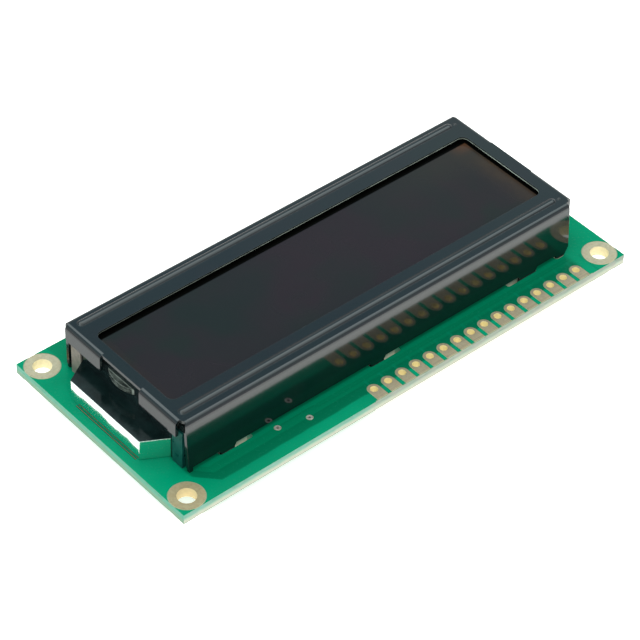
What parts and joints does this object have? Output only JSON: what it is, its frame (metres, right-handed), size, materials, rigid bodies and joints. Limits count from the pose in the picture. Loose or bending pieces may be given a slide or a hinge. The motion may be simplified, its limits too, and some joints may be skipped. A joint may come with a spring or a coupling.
{
  "type": "character lcd module",
  "caption": "Character liquid-crystal display module: green circuit board, black steel bezel over the glass cell, side-lit backlight, plated header holes and corner mounting holes.",
  "frame": {"origin": "under the middle of the circuit board, on the plane that the tips of the bezel's twisted lugs stand on", "axes": "+X along the board's long side, away from the backlight's nose; -Y towards the row of header holes; +Z out of the display"},
  "size_m": [0.08, 0.036, 0.0122],
  "materials": {
    "laminate": "bare glass-fibre laminate, satin",
    "mask_front": "glossy green solder mask",
    "mask_back": "glossy green solder mask",
    "tinned_copper": "tinned copper, satin",
    "pad_copper": "tinned copper, satin",
    "via_copper": "tinned copper",
    "finger_copper": "gilded copper",
    "bezel_paint": "gloss black paint on steel sheet",
    "polarizer_front": "dark film, satin gloss",
    "glass_front": "clear float glass",
    "seal_resin": "grey epoxy line",
    "clear_resin": "clear cured resin",
    "glass_rear": "clear float glass",
    "polarizer_rear": "grey film",
    "zebra_rubber_front": "striped silicone rubber",
    "zebra_rubber_rear": "striped silicone rubber",
    "acrylic": "clear acrylic with white dots",
    "diffuser": "white film",
    "reflector_white": "white film",
    "reflector_mirror": "silvered film",
    "cover_black": "black film",
    "led_board": "white board",
    "led_phosphor": "lamp dice with phosphor",
    "pin_metal": "tinned wire",
    "solder_led": "bright solder",
    "silicon_a": "silicon",
    "silicon_b": "silicon",
    "resin_a": "black epoxy, satin",
    "resin_b": "black epoxy, satin",
    "resistor_body": "black glaze, tinned ends",
    "capacitor_body": "tan ceramic, tinned ends",
    "solder_chip": "bright solder"
  },
  "bodies": {
    "root": {"pcb_laminate": "laminate", "solder_mask_front": "mask_front", "solder_mask_back": "mask_back", "mounting_hole_rings": "tinned_copper", "header_pads": "pad_copper", "via_pads": "via_copper", "contact_fingers": "finger_copper", "bezel": "bezel_paint", "front_polarizer": "polarizer_front", "front_glass": "glass_front", "cell_seal": "seal_resin", "fill_port_plug": "clear_resin", "rear_glass": "glass_rear", "rear_polarizer": "polarizer_rear", "zebra_strip_front": "zebra_rubber_front", "zebra_strip_rear": "zebra_rubber_rear", "light_guide": "acrylic", "diffuser_film": "diffuser", "base_reflector": "reflector_white", "nose_reflector": "reflector_mirror", "nose_cover_film": "cover_black", "led_carrier": "led_board", "led_chips": "led_phosphor", "led_pins": "pin_metal", "led_solder_joints": "solder_led", "controller_die": "silicon_a", "driver_die": "silicon_b", "controller_glob_top": "resin_a", "driver_glob_top": "resin_b", "chip_resistors": "resistor_body", "chip_capacitors": "capacitor_body", "chip_solder_joints": "solder_chip"}
  },
  "joints": []
}
